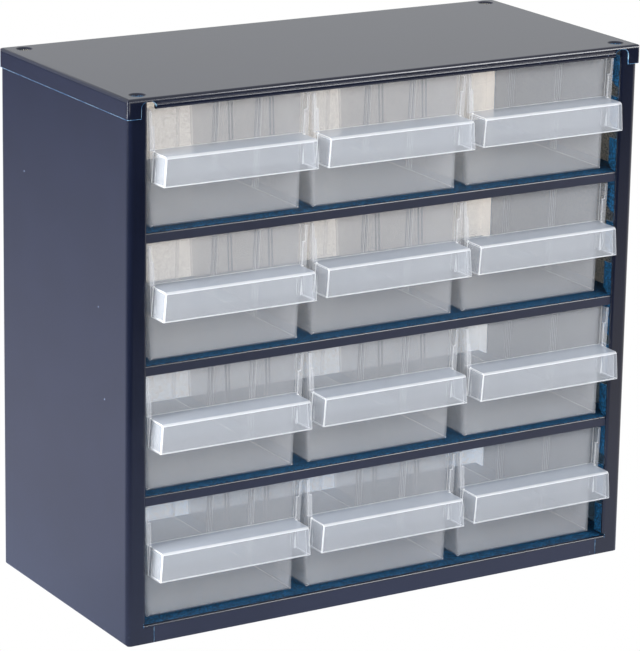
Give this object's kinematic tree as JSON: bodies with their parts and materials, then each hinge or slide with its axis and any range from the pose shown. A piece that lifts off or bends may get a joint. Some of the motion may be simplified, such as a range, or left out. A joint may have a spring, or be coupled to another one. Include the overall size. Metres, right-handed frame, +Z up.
{
  "type": "parts bin cabinet",
  "caption": "Blue painted sheet-steel cabinet of small parts bins: translucent drawers with pull handles slide out on open shelves between folded side panels.",
  "frame": {"origin": "middle of the four foot holes, on the surface the cabinet stands on", "axes": "+X to the cabinet's right seen from the front, -Y towards the user, the way the bins open, +Z up"},
  "size_m": [0.306, 0.152, 0.283],
  "materials": {
    "painted_steel": "semi-gloss powder coat, dark blue, thin on the inner skins",
    "bin_plastic": "translucent grey moulding, smooth with a soft sheen"
  },
  "bodies": {
    "carcass": {"top_cover": "painted_steel", "left_side_panel": "painted_steel", "right_side_panel": "painted_steel", "back_panel": "painted_steel", "bottom_panel": "painted_steel", "shelf_1": "painted_steel", "shelf_2": "painted_steel", "shelf_3": "painted_steel"},
    "bin_r1_c1": {"bin_r1_c1": "bin_plastic"},
    "bin_r1_c2": {"bin_r1_c2": "bin_plastic"},
    "bin_r1_c3": {"bin_r1_c3": "bin_plastic"},
    "bin_r2_c1": {"bin_r2_c1": "bin_plastic"},
    "bin_r2_c2": {"bin_r2_c2": "bin_plastic"},
    "bin_r2_c3": {"bin_r2_c3": "bin_plastic"},
    "bin_r3_c1": {"bin_r3_c1": "bin_plastic"},
    "bin_r3_c2": {"bin_r3_c2": "bin_plastic"},
    "bin_r3_c3": {"bin_r3_c3": "bin_plastic"},
    "bin_r4_c1": {"bin_r4_c1": "bin_plastic"},
    "bin_r4_c2": {"bin_r4_c2": "bin_plastic"},
    "bin_r4_c3": {"bin_r4_c3": "bin_plastic"}
  },
  "joints": [
    {"name": "bin_r1_c1_slide", "type": "slide", "parent": "carcass", "child": "bin_r1_c1", "axis": [0, -1, 0], "range_m": [-0.0022, 0.1118]},
    {"name": "bin_r1_c2_slide", "type": "slide", "parent": "carcass", "child": "bin_r1_c2", "axis": [0, -1, 0], "range_m": [-0.0032, 0.1108]},
    {"name": "bin_r1_c3_slide", "type": "slide", "parent": "carcass", "child": "bin_r1_c3", "axis": [0, -1, 0], "range_m": [-0.0014, 0.1126]},
    {"name": "bin_r2_c1_slide", "type": "slide", "parent": "carcass", "child": "bin_r2_c1", "axis": [0, -1, 0], "range_m": [-0.003, 0.111]},
    {"name": "bin_r2_c2_slide", "type": "slide", "parent": "carcass", "child": "bin_r2_c2", "axis": [0, -1, 0], "range_m": [-0.001, 0.113]},
    {"name": "bin_r2_c3_slide", "type": "slide", "parent": "carcass", "child": "bin_r2_c3", "axis": [0, -1, 0], "range_m": [-0.0002, 0.1138]},
    {"name": "bin_r3_c1_slide", "type": "slide", "parent": "carcass", "child": "bin_r3_c1", "axis": [0, -1, 0], "range_m": [-0.0022, 0.1118]},
    {"name": "bin_r3_c2_slide", "type": "slide", "parent": "carcass", "child": "bin_r3_c2", "axis": [0, -1, 0], "range_m": [-0.0018, 0.1122]},
    {"name": "bin_r3_c3_slide", "type": "slide", "parent": "carcass", "child": "bin_r3_c3", "axis": [0, -1, 0], "range_m": [-0.0036, 0.1104]},
    {"name": "bin_r4_c1_slide", "type": "slide", "parent": "carcass", "child": "bin_r4_c1", "axis": [0, -1, 0], "range_m": [-0.0012, 0.1128]},
    {"name": "bin_r4_c2_slide", "type": "slide", "parent": "carcass", "child": "bin_r4_c2", "axis": [0, -1, 0], "range_m": [-0.002, 0.112]},
    {"name": "bin_r4_c3_slide", "type": "slide", "parent": "carcass", "child": "bin_r4_c3", "axis": [0, -1, 0], "range_m": [-0.0012, 0.1128]}
  ]
}
